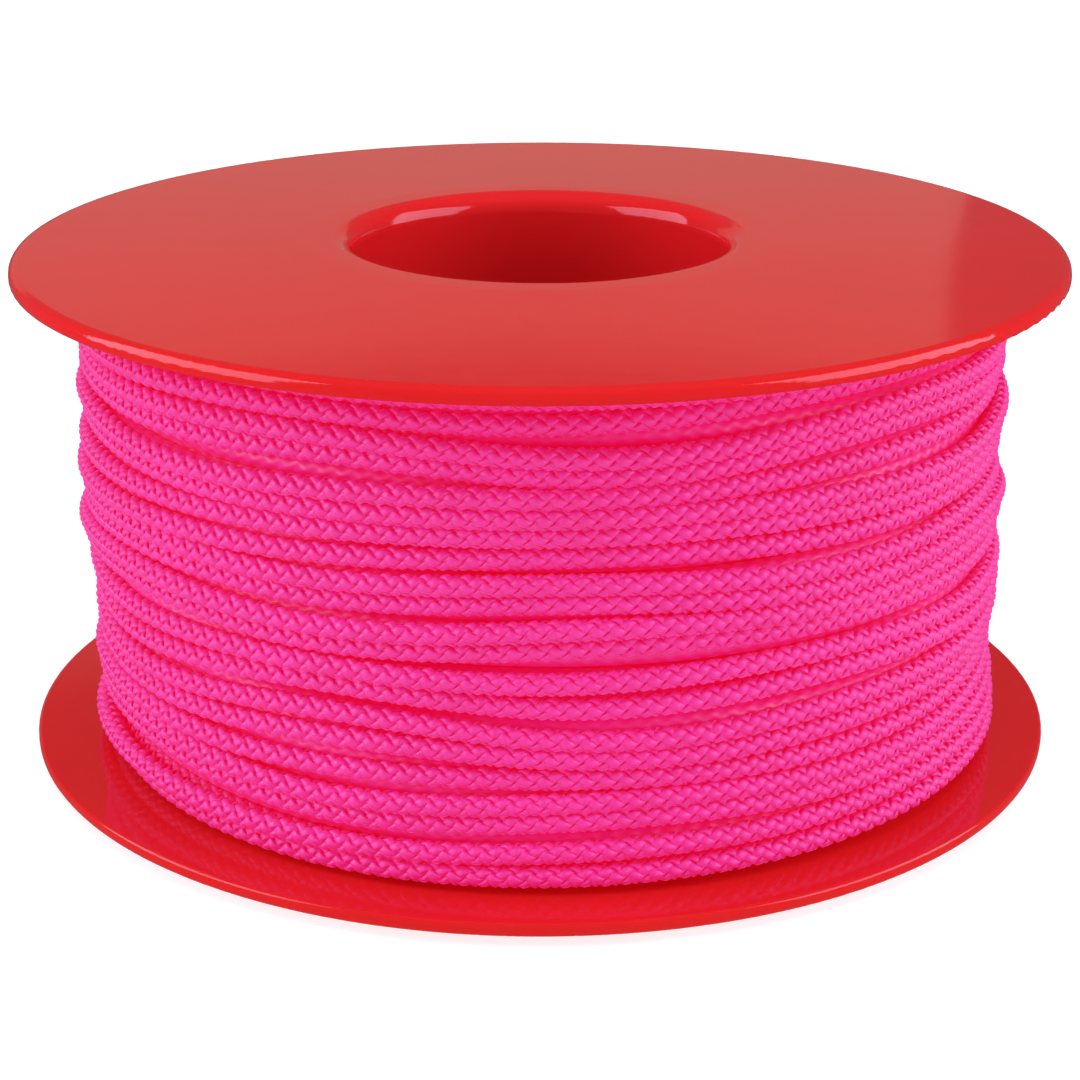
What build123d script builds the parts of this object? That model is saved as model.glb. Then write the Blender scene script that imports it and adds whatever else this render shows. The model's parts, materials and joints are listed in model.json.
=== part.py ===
from build123d import *
import os

os.makedirs("parts", exist_ok=True)

# A spool of braided line. Two moulded halves, each a flange with half of the hollow barrel,
# plug together at mid-height, and one continuous line is wound between the flanges.
# The origin is on the spool's axis, in the plane of the flat ring around the lower mouth of
# the bore, on which the spool stands. +Z runs up the axis.

# Driving dimensions, in millimetres

flange_radius = 45.0
rim_thickness = 1.3
flanges_apart = 40.6
bore_radius = 16.0
barrel_wall = 2.2

# A flange thickens from its rim to a flat ring around the mouth of the bore
hub_rise = 0.8
hub_ring_radius = 19.8

# Roundings of one half
bore_mouth_fillet = 1.7
rim_fillet = 0.8
rim_inner_fillet = 0.3
barrel_foot_fillet = 0.8

# The plug joint: a spigot on the lower half and a socket in the upper half
spigot_wall = 1.0
spigot_length = 6.0
spigot_chamfer = 0.35
joint_clearance = 0.05
socket_end_gap = 0.3

# A snap bead around the spigot clicks into a groove in the socket
bead_radius = 0.3
bead_from_tip = 1.6

# Keys at the spigot's foot stop the halves from turning on each other
key_count = 3
key_width = 3.0
key_depth = 0.5
key_height = 2.4

# The winding: the outer shape of all its turns together
winding_end_radius = 39.4
winding_middle_radius = 40.3
winding_clearance = 0.1
winding_inner_chamfer = 0.9
winding_outer_fillet = 0.9

# Sizes worked out from these

flange_inner_height = hub_rise + rim_thickness
overall_height = 2 * flange_inner_height + flanges_apart
joint_height = overall_height / 2
barrel_radius = bore_radius + barrel_wall
spigot_radius = bore_radius + spigot_wall
spigot_tip = joint_height + spigot_length
socket_radius = spigot_radius + joint_clearance
socket_depth = spigot_length + socket_end_gap
bead_height = spigot_tip - bead_from_tip
length_tolerance = 1e-6


def ring_edges(builder, radius, height):
    """The circular edges of that radius at that height."""
    circles = builder.edges().filter_by(GeomType.CIRCLE)
    at_height = circles.filter_by_position(Axis.Z, height, height)
    return at_height.filter_by(lambda edge: abs(edge.radius - radius) < length_tolerance)


def moulded_half(base, inward):
    """Flange and half barrel, whose outer end is at height base and faces away from inward."""
    rim_outer = base + inward * hub_rise
    rim_inner = base + inward * flange_inner_height

    with BuildPart() as half:
        with BuildSketch(Plane.XZ) as section:
            with BuildLine():
                Polyline(
                    (bore_radius, base),
                    (hub_ring_radius, base),
                    (flange_radius, rim_outer),
                    (flange_radius, rim_inner),
                    (barrel_radius, rim_inner),
                    (barrel_radius, joint_height),
                    (bore_radius, joint_height),
                    close=True,
                )
            make_face()
        revolve(axis=Axis.Z)

        fillet(ring_edges(half, bore_radius, base), radius=bore_mouth_fillet)
        fillet(ring_edges(half, flange_radius, rim_outer), radius=rim_fillet)
        fillet(ring_edges(half, flange_radius, rim_inner), radius=rim_inner_fillet)
        fillet(ring_edges(half, barrel_radius, rim_inner), radius=barrel_foot_fillet)

    return half.part


# Lower half: flange, half barrel, and the spigot with its snap bead and keys
lower_blank = moulded_half(base=0, inward=1)

with BuildPart() as lower_spool_half:
    add(lower_blank)

    with BuildSketch(Plane.XY.offset(joint_height)):
        Circle(spigot_radius)
        Circle(bore_radius, mode=Mode.SUBTRACT)
    extrude(amount=spigot_length)

    chamfer(ring_edges(lower_spool_half, spigot_radius, spigot_tip), length=spigot_chamfer)
    chamfer(ring_edges(lower_spool_half, bore_radius, spigot_tip), length=spigot_chamfer)

    with BuildSketch(Plane.XZ) as bead:
        with Locations((spigot_radius, bead_height)):
            Circle(bead_radius)
    revolve(axis=Axis.Z)

    with BuildSketch(Plane.XY.offset(joint_height)):
        with PolarLocations(spigot_radius, key_count):
            Rectangle(2 * key_depth, key_width)
    extrude(amount=key_height)

lower_spool_half.part.label = "lower_spool_half"
export_step(lower_spool_half.part, "parts/lower_spool_half.step")

# Upper half: flange, half barrel, and the socket with its groove and key slots
upper_blank = moulded_half(base=overall_height, inward=-1)

with BuildPart() as upper_spool_half:
    add(upper_blank)

    with BuildSketch(Plane.XY.offset(joint_height)):
        Circle(socket_radius)
    extrude(amount=socket_depth, mode=Mode.SUBTRACT)

    with BuildSketch(Plane.XZ) as groove:
        with Locations((socket_radius, bead_height)):
            Circle(bead_radius)
    revolve(axis=Axis.Z, mode=Mode.SUBTRACT)

    with BuildSketch(Plane.XY.offset(joint_height)):
        with PolarLocations(spigot_radius, key_count):
            Rectangle(2 * (key_depth + joint_clearance), key_width + 2 * joint_clearance)
    extrude(amount=key_height + joint_clearance, mode=Mode.SUBTRACT)

upper_spool_half.part.label = "upper_spool_half"
export_step(upper_spool_half.part, "parts/upper_spool_half.step")

# The wound line: one closed ring around the barrel, fullest at mid-height
winding_inner_radius = barrel_radius + winding_clearance
winding_bottom = flange_inner_height + winding_clearance
winding_top = overall_height - winding_bottom

with BuildPart() as wound_line:
    with BuildSketch(Plane.XZ) as winding_section:
        with BuildLine():
            Polyline(
                (winding_end_radius, winding_bottom),
                (winding_inner_radius, winding_bottom),
                (winding_inner_radius, winding_top),
                (winding_end_radius, winding_top),
            )
            ThreePointArc(
                (winding_end_radius, winding_top),
                (winding_middle_radius, joint_height),
                (winding_end_radius, winding_bottom),
            )
        make_face()
        by_radius = winding_section.vertices().group_by(Axis.X)
        chamfer(by_radius[0], length=winding_inner_chamfer)
        by_radius = winding_section.vertices().group_by(Axis.X)
        fillet(by_radius[-1], radius=winding_outer_fillet)
    revolve(axis=Axis.Z)

wound_line.part.label = "wound_line"
export_step(wound_line.part, "parts/wound_line.step")
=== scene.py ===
import json
import math

import bpy
import numpy as np
from mathutils import Euler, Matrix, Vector


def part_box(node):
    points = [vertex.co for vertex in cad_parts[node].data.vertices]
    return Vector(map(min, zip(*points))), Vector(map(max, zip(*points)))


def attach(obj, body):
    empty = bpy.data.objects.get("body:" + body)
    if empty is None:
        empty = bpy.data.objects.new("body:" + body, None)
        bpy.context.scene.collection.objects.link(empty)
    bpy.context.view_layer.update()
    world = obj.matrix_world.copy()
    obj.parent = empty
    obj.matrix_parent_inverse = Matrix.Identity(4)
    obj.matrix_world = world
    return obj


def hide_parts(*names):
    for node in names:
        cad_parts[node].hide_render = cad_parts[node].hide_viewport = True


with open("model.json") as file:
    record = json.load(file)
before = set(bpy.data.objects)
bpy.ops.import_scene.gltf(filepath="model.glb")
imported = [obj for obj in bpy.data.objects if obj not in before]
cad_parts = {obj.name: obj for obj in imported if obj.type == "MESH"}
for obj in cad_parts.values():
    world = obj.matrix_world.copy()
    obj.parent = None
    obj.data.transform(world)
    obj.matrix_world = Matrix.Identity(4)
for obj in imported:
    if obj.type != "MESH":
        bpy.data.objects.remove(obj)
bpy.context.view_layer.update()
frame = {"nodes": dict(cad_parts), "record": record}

# A moulded red spool, wound full with fluorescent pink braided line. The spool's two halves are
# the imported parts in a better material. The line is modelled here along its whole length: a
# route of thirteen layers of turns around the barrel, with its braid on the layer that shows.
# Everything is in metres, in the part's own frame: +Z up the spool's axis, the camera at -Y.

MM = 0.001

# ---------------------------------------------------------------- sizes read from the frame

# Two sizes of the part that its boxes and mounts don't give
BARREL_WALL = 2.2 * MM
HUB_RISE = 0.8 * MM

lower_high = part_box("lower_spool_half")[1]
upper_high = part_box("upper_spool_half")[1]
ring_low, ring_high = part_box("wound_line")
mounts = {m["name"]: m for m in frame["record"]["mounts"]}

flange_radius = lower_high[0]
spool_height = upper_high[2]
winding_low = ring_low[2]
winding_high = ring_high[2]
bore_radius = mounts["spindle_bore"]["dims"]["r_mm"] * MM
barrel_radius = bore_radius + BARREL_WALL

# ---------------------------------------------------------------- the line's own sizes

LINE_DIAMETER = 1.9 * MM
LAYERS = 13
TURNS_PER_LAYER = 20.8
STEPS_PER_TURN = 24

# The wound spool's outer radius: at the upper flange, where it is fullest, and how far its
# lowest turns flare out and lean to one side
EDGE_RADIUS = 39.4 * MM
FULL_RADIUS = 40.25 * MM
FULL_HEIGHT = 0.60
FULL_WIDTH = 0.34
FLARE = 0.5 * MM
FLARE_HEIGHT = 0.14
LEAN = 0.42 * MM
LEAN_AZIMUTH = math.radians(-45)

# Two turns under tension press into each other a little: the distance between their centres, and
# that above the turn beneath where nothing touches, in line diameters and in such distances
CONTACT = 0.92
LOOSE_REST = 0.8

# Turns dwell at a flange while the line climbs to the next layer
DWELL_TURNS = 0.25
CLIMB_TURNS = 0.22

# Neighbouring turns of a layer are pushed apart to a least pitch, in line diameters
LEAST_PITCH = 0.78
SPREAD_PASSES = 30
SPREAD_SHARE = 0.4

# How far a layer's turns stand in or out, and wander along the spool's axis
UNEVENNESS = 0.5 * MM
REST_SMOOTHING = 2
INNER_WANDER = 0.06 * MM
OUTER_WANDER = 0.24 * MM
WANDER_KNOTS_PER_TURN = 5

# Neighbouring turns of the outer layer drift together, and ride up in an arch at the front
DRIFT_TERMS = 7
DRIFT_SIZE = 0.2 * MM
DRIFT_WAVES = (8 * MM, 24 * MM)
ARCH_AZIMUTH = math.radians(-92)
ARCH_WIDTH = math.radians(48)
ARCH_RISE = 1.5 * MM
ARCH_HEIGHT = 0.52
ARCH_SPREAD = 0.27

# The line's end crosses a few turns behind the spool and is tucked between two of them
END_AZIMUTH = math.radians(62)
TAIL_TURNS = 0.17
TAIL_DROP = 7.2 * MM
TAIL_DROP_GROWTH = 1.3
TAIL_CROSSED = 0.8
TAIL_ARCH_SHAPE = 0.6
TAIL_TUCK = 0.9 * MM

# Eight strands, four each way, over one and under one
STRANDS_EACH_WAY = 4
BRAID_LAY = 6.2 * MM
STRAND_WIDTH = 0.76 * MM
STRAND_THICKNESS = 0.40 * MM
STRAND_MIDDLE = 0.54 * MM
STRAND_SWING = 0.21 * MM
CORE_RADIUS = 0.54 * MM
STRAND_SIDES = 6
RINGS_PER_PICK = 5
CORE_SIDES = 8

# The route's spline has this many points to a step, and the plain line a ring at this spacing
ROUTE_RESOLUTION = 6
CORE_STEP = 2.6 * MM
TIP_SHARE = 0.3

rng = np.random.default_rng(7)


# ---------------------------------------------------------------- camera

# Its distance and height in flange radii, the height above the lower flange's rim
CAMERA_DISTANCE = 5.0
CAMERA_HEIGHT = 2.13
CAMERA_PITCH = math.radians(19.52)
CAMERA_LENS = 89.1


def make_camera():
    data = bpy.data.cameras.new("camera")
    data.sensor_width = 36.0
    data.lens = CAMERA_LENS
    data.clip_start = 0.01
    data.clip_end = 50.0
    camera = bpy.data.objects.new("camera", data)
    height = HUB_RISE + CAMERA_HEIGHT * flange_radius
    camera.location = (0.0, -CAMERA_DISTANCE * flange_radius, height)
    camera.rotation_euler = Euler((math.pi / 2 - CAMERA_PITCH, 0.0, 0.0))
    bpy.context.scene.collection.objects.link(camera)
    bpy.context.scene.camera = camera


# ---------------------------------------------------------------- the line's route


def wander(count, size):
    """A smooth random drift, one value for each step of a layer."""
    knots = int(count / STEPS_PER_TURN * WANDER_KNOTS_PER_TURN) + 4
    values = rng.normal(0.0, size, knots)
    at = np.arange(count) * WANDER_KNOTS_PER_TURN / STEPS_PER_TURN + 1
    low = at.astype(int)
    t = at - low
    before, here, after, beyond = (values[low + k] for k in (-1, 0, 1, 2))
    blend = [(1 - t) ** 3, 3 * t**3 - 6 * t**2 + 4, -3 * t**3 + 3 * t**2 + 3 * t + 1, t**3]
    return (before * blend[0] + here * blend[1] + after * blend[2] + beyond * blend[3]) / 4


def spread_turns(z, rising):
    """Pushes neighbouring turns of a layer apart where they would lie in each other."""
    least = LEAST_PITCH * LINE_DIAMETER
    way = 1.0 if rising else -1.0
    settled = slice(STEPS_PER_TURN, len(z) - STEPS_PER_TURN)
    for _ in range(SPREAD_PASSES):
        short = np.maximum(least - way * (z[STEPS_PER_TURN:] - z[:-STEPS_PER_TURN]), 0.0)
        short[: STEPS_PER_TURN // 2] = 0.0
        short[-STEPS_PER_TURN // 2 :] = 0.0
        push = np.zeros_like(z)
        push[STEPS_PER_TURN:] += SPREAD_SHARE * way * short
        push[:-STEPS_PER_TURN] -= SPREAD_SHARE * way * short
        z[settled] += push[settled]
    return z


def share_of_height(z):
    return (z - winding_low) / (winding_high - winding_low)


def bump(values, middle, width):
    return np.exp(-(((values - middle) / width) ** 2))


def centre_radius(layer, azimuth, z):
    """Where a layer's line lies on average, evenly spaced from the barrel to the outside."""
    height = share_of_height(z)
    inner = barrel_radius + LINE_DIAMETER / 2
    full = (FULL_RADIUS - EDGE_RADIUS) * bump(height, FULL_HEIGHT, FULL_WIDTH)
    flare = FLARE * bump(height, 0.0, FLARE_HEIGHT)
    lean = LEAN * np.cos(azimuth - LEAN_AZIMUTH) * (1 - height) ** 2
    outer = EDGE_RADIUS + full + flare + lean - LINE_DIAMETER / 2
    return inner + (outer - inner) * layer / (LAYERS - 1)


def rest_on(z, start, under):
    """The radius at which each step of a layer rests on the turns beneath and beside it."""
    under_start, under_z, under_r = under
    column = (under_start + np.arange(len(under_z))) % STEPS_PER_TURN
    reach = CONTACT * LINE_DIAMETER
    radius = np.zeros_like(z)
    for i in range(len(z)):
        below = column == (start + i) % STEPS_PER_TURN
        near_z, near_r = under_z[below], under_r[below]
        if i >= STEPS_PER_TURN:
            near_z = np.append(near_z, z[i - STEPS_PER_TURN])
            near_r = np.append(near_r, radius[i - STEPS_PER_TURN])
        apart = np.abs(near_z - z[i])
        touches = apart < reach
        lifts = near_r[touches] + np.sqrt(reach**2 - apart[touches] ** 2)
        radius[i] = lifts.max() if len(lifts) else under_r[below].min() + LOOSE_REST * reach
    return radius


def drift_field(azimuth, z):
    """How far the outer turns have drifted from even spacing, at each place on the winding."""
    shift = np.zeros_like(z)
    for _ in range(DRIFT_TERMS):
        around = rng.integers(2, 8)
        along = rng.choice((-1, 1)) * 2 * math.pi / rng.uniform(*DRIFT_WAVES)
        phase = rng.uniform(0, 2 * math.pi)
        shift += DRIFT_SIZE * np.sin(around * azimuth + along * z + phase)
    from_front = (azimuth - ARCH_AZIMUTH + math.pi) % (2 * math.pi) - math.pi
    arch = bump(from_front, 0.0, ARCH_WIDTH) * bump(share_of_height(z), ARCH_HEIGHT, ARCH_SPREAD)
    return shift + ARCH_RISE * arch


def smoothed(values, passes):
    for _ in range(passes):
        padded = np.concatenate([values[:1], values, values[-1:]])
        values = 0.25 * padded[:-2] + 0.5 * padded[1:-1] + 0.25 * padded[2:]
    return values


def local_mean(values):
    """The mean over a turn either way."""
    window = np.ones(2 * STEPS_PER_TURN + 1)
    shares = np.convolve(np.ones_like(values), window, "same")
    return np.convolve(values, window, "same") / shares


def step_azimuths(count):
    """The azimuth of the winding's first steps, counted back from where the line's end lies."""
    total = LAYERS * int(round(TURNS_PER_LAYER * STEPS_PER_TURN))
    return END_AZIMUTH + 2 * math.pi / STEPS_PER_TURN * (np.arange(count) - total + 1)


def wind():
    """Radius and height of every step of the winding, and where its last layer starts."""
    lowest = winding_low + LINE_DIAMETER / 2
    highest = winding_high - LINE_DIAMETER / 2
    count = int(round(TURNS_PER_LAYER * STEPS_PER_TURN))
    turn = np.arange(count) / STEPS_PER_TURN
    travel = np.clip((turn - DWELL_TURNS) / (turn[-1] - 2 * DWELL_TURNS), 0.0, 1.0)
    radii, heights, start, under = [], [], 0, None
    for layer in range(LAYERS):
        rising = layer % 2 == 0
        outermost = layer == LAYERS - 1
        z = lowest + (highest - lowest) * (travel if rising else 1 - travel)
        drift = wander(count, OUTER_WANDER if outermost else INNER_WANDER)
        fade = np.clip(np.minimum(turn, turn[-1] - turn), 0.0, 1.0)
        if outermost:
            margin = np.clip(np.minimum(z - lowest, highest - z) / (2 * LINE_DIAMETER), 0.0, 1.0)
            drift += margin * drift_field(step_azimuths(start + count)[start:], z)
        z = np.clip(z + drift * fade, lowest, highest)
        z = np.clip(spread_turns(z, rising), lowest, highest)
        r = centre_radius(layer, step_azimuths(start + count)[start:], z)
        if under is not None:
            rest = rest_on(z, start, under)
            unevenness = rest - local_mean(rest)
            r = r + np.clip(unevenness, -UNEVENNESS, UNEVENNESS)
            climb = np.clip(turn / CLIMB_TURNS, 0.0, 1.0)
            climb = climb * climb * (3 - 2 * climb)
            r = radii[-1][-1] * (1 - climb) + r * climb
            r = smoothed(r, REST_SMOOTHING)
        radii.append(r)
        heights.append(z)
        under = (start, z, r)
        last_start = start
        start += count
    return np.concatenate(radii), np.concatenate(heights), last_start


def add_tail(radii, heights):
    """The end of the line: it crosses a few turns, then goes in between two of them."""
    count = int(round(TAIL_TURNS * STEPS_PER_TURN)) + 1
    t = (np.arange(count) + 1) / count
    over = np.sin(math.pi * np.clip(t / TAIL_CROSSED, 0.0, 1.0)) ** TAIL_ARCH_SHAPE
    tucked = np.clip((t - TAIL_CROSSED) / (1 - TAIL_CROSSED), 0.0, 1.0)
    r = radii[-1] + over * CONTACT * LINE_DIAMETER - TAIL_TUCK * tucked
    z = heights[-1] - TAIL_DROP * t**TAIL_DROP_GROWTH
    return np.concatenate([radii, r]), np.concatenate([heights, z])


def make_route():
    """The whole line as one smooth spline. Returns points along it and where its braid starts."""
    radii, heights, last_start = wind()
    radii, heights = add_tail(radii, heights)
    step = 2 * math.pi / STEPS_PER_TURN
    azimuths = step_azimuths(len(radii))
    # The spline cuts inside its control points, so these stand that much further out
    outward = 1 / (0.75 + 0.25 * math.cos(step))
    data = bpy.data.curves.new("route", "CURVE")
    data.dimensions = "3D"
    data.resolution_u = ROUTE_RESOLUTION
    spline = data.splines.new("NURBS")
    spline.points.add(len(radii) - 1)
    control = np.ones((len(radii), 4))
    control[:, 0] = radii * outward * np.cos(azimuths)
    control[:, 1] = radii * outward * np.sin(azimuths)
    control[:, 2] = heights
    spline.points.foreach_set("co", control.ravel())
    spline.order_u = 3
    spline.use_endpoint_u = True
    route = bpy.data.objects.new("route", data)
    mesh = bpy.data.meshes.new_from_object(route)
    points = np.zeros(len(mesh.vertices) * 3)
    mesh.vertices.foreach_get("co", points)
    bpy.data.meshes.remove(mesh)
    bpy.data.objects.remove(route)
    bpy.data.curves.remove(data)
    share = (last_start - STEPS_PER_TURN) / len(radii)
    return points.reshape(-1, 3), share


# ---------------------------------------------------------------- tubes and strands


def lengths_along(points):
    steps = np.linalg.norm(np.diff(points, axis=0), axis=1)
    return np.concatenate([[0.0], np.cumsum(steps)])


def resampled(points, along, at):
    return np.stack([np.interp(at, along, points[:, k]) for k in range(3)], axis=1)


def unit(vectors):
    return vectors / np.linalg.norm(vectors, axis=1, keepdims=True)


def frames(points):
    """At each point, the way outward from the spool and the way across the line."""
    tangent = unit(np.gradient(points, axis=0))
    outward = points * (1, 1, 0)
    outward = unit(outward - (outward * tangent).sum(axis=1, keepdims=True) * tangent)
    return outward, np.cross(tangent, outward)


class Tubes:
    """Collects closed tubes of quads for one mesh.

    Each point has its place across its strand (lane). On the plain tube of the inner layers it
    also has its place in the braid's pattern, around and along the line.
    """

    def __init__(self):
        self.points, self.quads, self.count = [], [], 0
        self.values = {"lane": [], "around": [], "along": []}

    def add(self, rings, lanes, around=0.0, along=0.0):
        rows, sides = rings.shape[:2]
        ring = np.arange(rows - 1)[:, None] * sides
        side = np.arange(sides)[None, :]
        beside = (side + 1) % sides
        walls = [ring + side, ring + beside, ring + sides + beside, ring + sides + side]
        self.quads.append(np.stack(walls, axis=-1).reshape(-1, 4) + self.count)
        half = np.arange(sides // 2 - 1)
        cap = np.stack([half, half + 1, sides - 2 - half, sides - 1 - half], axis=1)
        self.quads.append(cap[:, ::-1] + self.count)
        self.quads.append(cap + self.count + (rows - 1) * sides)
        self.points.append(rings.reshape(-1, 3))
        self.values["lane"].append(np.tile(lanes, rows))
        self.values["around"].append(np.tile(np.full(sides, 1.0) * around, rows))
        self.values["along"].append(np.repeat(np.full(rows, 1.0) * along, sides))
        self.count += rows * sides

    def mesh(self, name):
        points = np.concatenate(self.points).astype(np.float32)
        quads = np.concatenate(self.quads).astype(np.int32)
        mesh = bpy.data.meshes.new(name)
        mesh.vertices.add(len(points))
        mesh.vertices.foreach_set("co", points.ravel())
        mesh.loops.add(quads.size)
        mesh.loops.foreach_set("vertex_index", quads.ravel())
        mesh.polygons.add(len(quads))
        mesh.polygons.foreach_set("loop_start", np.arange(len(quads), dtype=np.int32) * 4)
        mesh.update(calc_edges=True)
        mesh.polygons.foreach_set("use_smooth", np.ones(len(quads), dtype=bool))
        for key, values in self.values.items():
            attribute = mesh.attributes.new(key, "FLOAT", "POINT")
            attribute.data.foreach_set("value", np.concatenate(values).astype(np.float32))
        return mesh


def round_rings(points, radii, sides):
    outward, across = frames(points)
    angle = 2 * math.pi * np.arange(sides) / sides
    around = outward[:, None] * np.cos(angle)[:, None] + across[:, None] * np.sin(angle)[:, None]
    return points[:, None] + around * np.asarray(radii)[:, None, None]


def strand_rings(points, along, way, number):
    """One strand of the braid: a flat yarn that winds round the line, over one and under one."""
    pick = BRAID_LAY / STRANDS_EACH_WAY
    outward, across = frames(points)
    turn = way * 2 * math.pi * along / BRAID_LAY + number * 2 * math.pi / STRANDS_EACH_WAY
    weave = 2 * math.pi * along / pick + (0.0 if way > 0 else math.pi)
    out = np.cos(turn)[:, None] * outward + np.sin(turn)[:, None] * across
    middle = points + (STRAND_MIDDLE + STRAND_SWING * np.cos(weave))[:, None] * out
    heading = unit(np.gradient(middle, axis=0))
    aside = unit(np.cross(heading, out))
    up = np.cross(aside, heading)
    angle = 2 * math.pi * np.arange(STRAND_SIDES) / STRAND_SIDES
    rings = middle[:, None] + aside[:, None] * (STRAND_WIDTH / 2 * np.cos(angle))[:, None]
    rings = rings + up[:, None] * (STRAND_THICKNESS / 2 * np.sin(angle))[:, None]
    return rings, np.cos(angle)


def make_line():
    route, share = make_route()
    along = lengths_along(route)
    length = along[-1]
    braid_start = along[int(share * len(route))]

    # The inner layers are a plain round line, which thins to the braid's core on the outer layer
    at = np.linspace(0.0, length, int(length / CORE_STEP))
    radii = np.where(at < braid_start, LINE_DIAMETER / 2, CORE_RADIUS)
    radii[-1] = TIP_SHARE * CORE_RADIUS
    tubes = Tubes()
    core = resampled(route, along, at)
    turned = (np.arange(CORE_SIDES) + CORE_SIDES // 2 - 1) % CORE_SIDES - CORE_SIDES // 2 + 1
    around = STRANDS_EACH_WAY * turned * 2 * math.pi / CORE_SIDES
    pattern = 2 * math.pi * (at - braid_start) * STRANDS_EACH_WAY / BRAID_LAY
    tubes.add(round_rings(core, radii, CORE_SIDES), np.zeros(CORE_SIDES), around, pattern)

    ring_step = BRAID_LAY / STRANDS_EACH_WAY / RINGS_PER_PICK
    at = np.arange(braid_start, length, ring_step)
    points = resampled(route, along, at)
    for way in (1, -1):
        for number in range(STRANDS_EACH_WAY):
            rings, lanes = strand_rings(points, at - braid_start, way, number)
            tubes.add(rings, lanes)

    line = bpy.data.objects.new("braided_line", tubes.mesh("braided_line"))
    bpy.context.scene.collection.objects.link(line)
    line.data.materials.append(line_material())
    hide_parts("wound_line")
    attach(line, "root")


# ---------------------------------------------------------------- materials

PINKS = ((0.44, 0.007, 0.225), (0.52, 0.016, 0.31))
REDS = ((0.60, 0.010, 0.0115), (0.66, 0.013, 0.014))

# Scales of the noise in the materials, per metre
LINE_SHADE_SCALE = 240.0
LINE_GRAIN_SCALE = 900.0
PLASTIC_FLOW_SCALE = 55.0
PLASTIC_SCUFF_SCALE = 700.0
PLASTIC_PEEL_SCALE = 420.0

# Filaments side by side across a strand: radians of ridges from its middle to its edge
FILAMENT_RIDGES = 26.0


def new_material(name):
    material = bpy.data.materials.new(name)
    material.use_nodes = True
    nodes = material.node_tree.nodes
    return material, nodes, material.node_tree.links, nodes["Principled BSDF"]


def noise_node(nodes, links, coordinates, scale, detail=2.0):
    node = nodes.new("ShaderNodeTexNoise")
    node.inputs["Scale"].default_value = scale
    node.inputs["Detail"].default_value = detail
    links.new(coordinates, node.inputs["Vector"])
    return node.outputs["Fac"]


def ramp_node(nodes, links, value, low, high, to_low, to_high):
    node = nodes.new("ShaderNodeMapRange")
    for name, number in (
        ("From Min", low),
        ("From Max", high),
        ("To Min", to_low),
        ("To Max", to_high),
    ):
        node.inputs[name].default_value = number
    links.new(value, node.inputs["Value"])
    return node.outputs["Result"]


def mix_colour(nodes, links, factor, first, second):
    node = nodes.new("ShaderNodeMix")
    node.data_type = "RGBA"
    links.new(factor, node.inputs["Factor"])
    for socket, colour in ((node.inputs[6], first), (node.inputs[7], second)):
        if isinstance(colour, tuple):
            socket.default_value = (*colour, 1.0)
        else:
            links.new(colour, socket)
    return node.outputs[2]


def cosine_node(nodes, links, attribute, scale):
    source = nodes.new("ShaderNodeAttribute")
    source.attribute_name = attribute
    scaled = nodes.new("ShaderNodeMath")
    scaled.operation = "MULTIPLY"
    scaled.inputs[1].default_value = scale
    links.new(source.outputs["Fac"], scaled.inputs[0])
    wave = nodes.new("ShaderNodeMath")
    wave.operation = "COSINE"
    links.new(scaled.outputs[0], wave.inputs[0])
    return wave.outputs[0]


def bump_node(nodes, links, height, strength, distance, normal=None):
    node = nodes.new("ShaderNodeBump")
    node.inputs["Strength"].default_value = strength
    node.inputs["Distance"].default_value = distance
    links.new(height, node.inputs["Height"])
    if normal is not None:
        links.new(normal, node.inputs["Normal"])
    return node.outputs[0]


def line_material():
    """Fluorescent pink braided yarn with a painted pink glow: fine filaments along each strand
    and a soft sheen.
    """
    material, nodes, links, shader = new_material("pink_braid_painted_glow")
    place = nodes.new("ShaderNodeTexCoord").outputs["Object"]
    shade = noise_node(nodes, links, place, LINE_SHADE_SCALE)
    colour = mix_colour(nodes, links, shade, *PINKS)
    links.new(colour, shader.inputs["Base Color"])
    rough = noise_node(nodes, links, place, LINE_GRAIN_SCALE)
    links.new(ramp_node(nodes, links, rough, 0.3, 0.7, 0.4, 0.58), shader.inputs["Roughness"])
    # Painted glow: a steady pink emission, the same whatever light falls on the line, in place of
    # the dye's fluorescence
    shader.inputs["Emission Color"].default_value = (1.0, 0.0, 0.02, 1.0)
    shader.inputs["Emission Strength"].default_value = 0.385
    shader.inputs["Specular IOR Level"].default_value = 0.8
    shader.inputs["Sheen Weight"].default_value = 0.22
    shader.inputs["Sheen Roughness"].default_value = 0.35
    shader.inputs["Sheen Tint"].default_value = (1.0, 0.6, 0.95, 1.0)
    # Filaments run along the strand, side by side across it
    ridges = cosine_node(nodes, links, "lane", FILAMENT_RIDGES)
    filaments = bump_node(nodes, links, ridges, 0.25, 0.02 * MM)
    # The crowns of the braid on the inner layers, which show only in the gaps
    crowns = nodes.new("ShaderNodeMath")
    crowns.operation = "MULTIPLY"
    links.new(cosine_node(nodes, links, "around", 1.0), crowns.inputs[0])
    links.new(cosine_node(nodes, links, "along", 1.0), crowns.inputs[1])
    braid = bump_node(nodes, links, crowns.outputs[0], 0.5, 0.12 * MM, filaments)
    links.new(braid, shader.inputs["Normal"])
    return material


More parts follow.
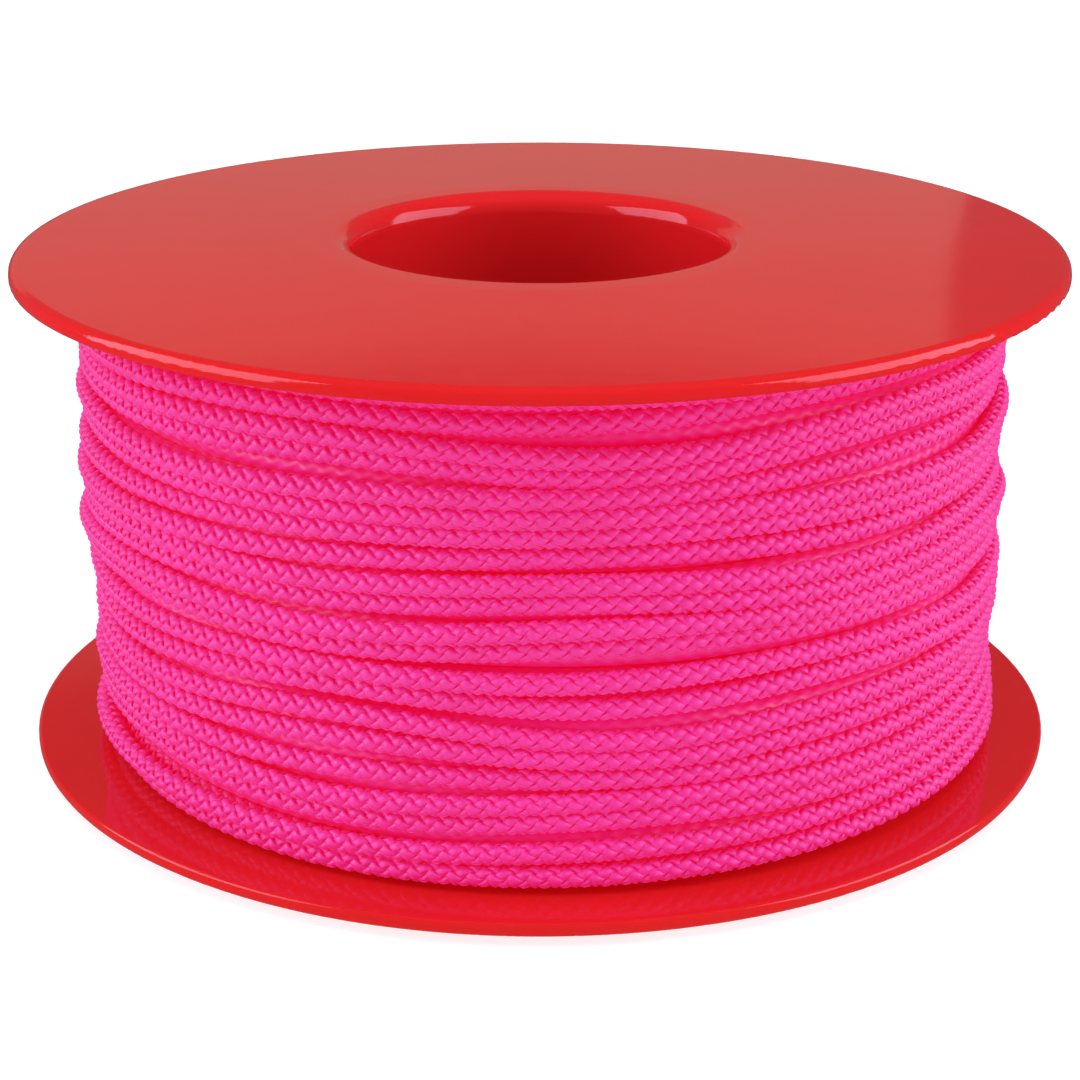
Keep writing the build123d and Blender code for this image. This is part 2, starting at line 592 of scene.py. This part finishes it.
def plastic_material():
    """Glossy injection-moulded red, with faint flow marks, fine scuffs and a soft unevenness."""
    material, nodes, links, shader = new_material("moulded_red")
    place = nodes.new("ShaderNodeTexCoord").outputs["Object"]
    flow = noise_node(nodes, links, place, PLASTIC_FLOW_SCALE, detail=3.0)
    colour = mix_colour(nodes, links, flow, *REDS)
    links.new(colour, shader.inputs["Base Color"])
    scuff = noise_node(nodes, links, place, PLASTIC_SCUFF_SCALE, detail=4.0)
    rough = ramp_node(nodes, links, scuff, 0.35, 0.75, 0.07, 0.12)
    links.new(rough, shader.inputs["Roughness"])
    shader.inputs["IOR"].default_value = 1.4
    peel = noise_node(nodes, links, place, PLASTIC_PEEL_SCALE, detail=1.0)
    links.new(bump_node(nodes, links, peel, 0.1, 0.02 * MM), shader.inputs["Normal"])
    return material


def finish_spool():
    red = plastic_material()
    for node in ("lower_spool_half", "upper_spool_half"):
        for slot in frame["nodes"][node].material_slots:
            slot.material = red


# ---------------------------------------------------------------- studio

FLOOR_SIZE = 18.0
BACKDROP_RADIUS = 8.0
BACKDROP_HEIGHT = 5.0
BACKDROP_SIDES = 64
FLOOR_GLOW = 0.8
BACKDROP_GLOW = 0.9
WORLD_GLOW = 0.12
SIDE_RADIANCE = 4.3
SIDE_SIZE = (1.2, 0.9)
CARD_MIDDLE = -0.2535
CARD_HEIGHT = 0.235
WHITE = (1.0, 1.0, 1.0)
WARM = (1.0, 0.92, 0.7)
COOL = (0.8, 0.74, 1.0)


def add_area(name, place, aim, size, radiance, colour=WHITE, in_gloss=True):
    """A rectangular softbox of the given radiance, out of sight of the camera."""
    data = bpy.data.lights.new(name, "AREA")
    data.shape = "RECTANGLE"
    data.size, data.size_y = size
    data.energy = radiance * math.pi * size[0] * size[1]
    data.color = colour
    light = bpy.data.objects.new(name, data)
    light.location = place
    direction = Vector(aim) - Vector(place)
    light.rotation_euler = direction.to_track_quat("-Z", "Y").to_euler()
    light.visible_camera = False
    light.visible_glossy = in_gloss
    bpy.context.scene.collection.objects.link(light)


def studio_material(name, glow):
    """Matt grey that glows white, for the floor and the wall behind."""
    material, _, _, shader = new_material(name)
    shader.inputs["Base Color"].default_value = (0.35, 0.35, 0.35, 1.0)
    shader.inputs["Roughness"].default_value = 0.9
    shader.inputs["Emission Color"].default_value = (*WHITE, 1.0)
    shader.inputs["Emission Strength"].default_value = glow
    return material


def make_floor():
    mesh = bpy.data.meshes.new("floor")
    half = FLOOR_SIZE / 2
    corners = [(-half, -half, 0), (half, -half, 0), (half, half, 0), (-half, half, 0)]
    mesh.from_pydata(corners, [], [(0, 1, 2, 3)])
    floor = bpy.data.objects.new("floor", mesh)
    bpy.context.scene.collection.objects.link(floor)
    mesh.materials.append(studio_material("pale_floor", FLOOR_GLOW))
    floor.visible_glossy = False


def make_backdrop():
    """A white wall all round, far away. The world shows above it in views from low down."""
    angles = [2 * math.pi * i / BACKDROP_SIDES for i in range(BACKDROP_SIDES)]
    corners = [
        (BACKDROP_RADIUS * math.cos(a), BACKDROP_RADIUS * math.sin(a), z)
        for z in (0.0, BACKDROP_HEIGHT)
        for a in angles
    ]
    faces = []
    for i in range(BACKDROP_SIDES):
        beside = (i + 1) % BACKDROP_SIDES
        faces.append((beside, i, BACKDROP_SIDES + i, BACKDROP_SIDES + beside))
    mesh = bpy.data.meshes.new("backdrop")
    mesh.from_pydata(corners, [], faces)
    backdrop = bpy.data.objects.new("backdrop", mesh)
    bpy.context.scene.collection.objects.link(backdrop)
    mesh.materials.append(studio_material("white_backdrop", BACKDROP_GLOW))
    backdrop.visible_glossy = False
    backdrop.visible_diffuse = False
    backdrop.visible_shadow = False


def make_studio():
    make_floor()
    make_backdrop()
    world = bpy.data.worlds.new("studio")
    world.use_nodes = True
    background = world.node_tree.nodes["Background"]
    background.inputs["Color"].default_value = (*WHITE, 1.0)
    background.inputs["Strength"].default_value = WORLD_GLOW
    bpy.context.scene.world = world

    middle = (0.0, 0.0, spool_height / 2)
    overhead, front = (0.0, -0.1, 1.1), (0.0, -1.3, 0.18)
    add_area("overhead", overhead, middle, size=(1.2, 1.0), radiance=2.5, in_gloss=False)
    add_area("front", front, middle, size=(1.3, 0.26), radiance=3.0, in_gloss=False)
    for name, side in (("left", -1), ("right", 1)):
        add_area(name, (side * 1.1, -0.2, 0.5), middle, SIDE_SIZE, SIDE_RADIANCE, COOL)
    # A pale card behind the spool, mirrored in the upper flange as far as the card's right edge
    card, before = (CARD_MIDDLE, 0.9, CARD_HEIGHT), (CARD_MIDDLE, 0.0, CARD_HEIGHT)
    add_area("card", card, before, size=(0.89, 0.27), radiance=0.195, colour=WARM)
    bpy.context.scene.view_settings.view_transform = "Standard"


make_camera()
make_line()
finish_spool()
make_studio()
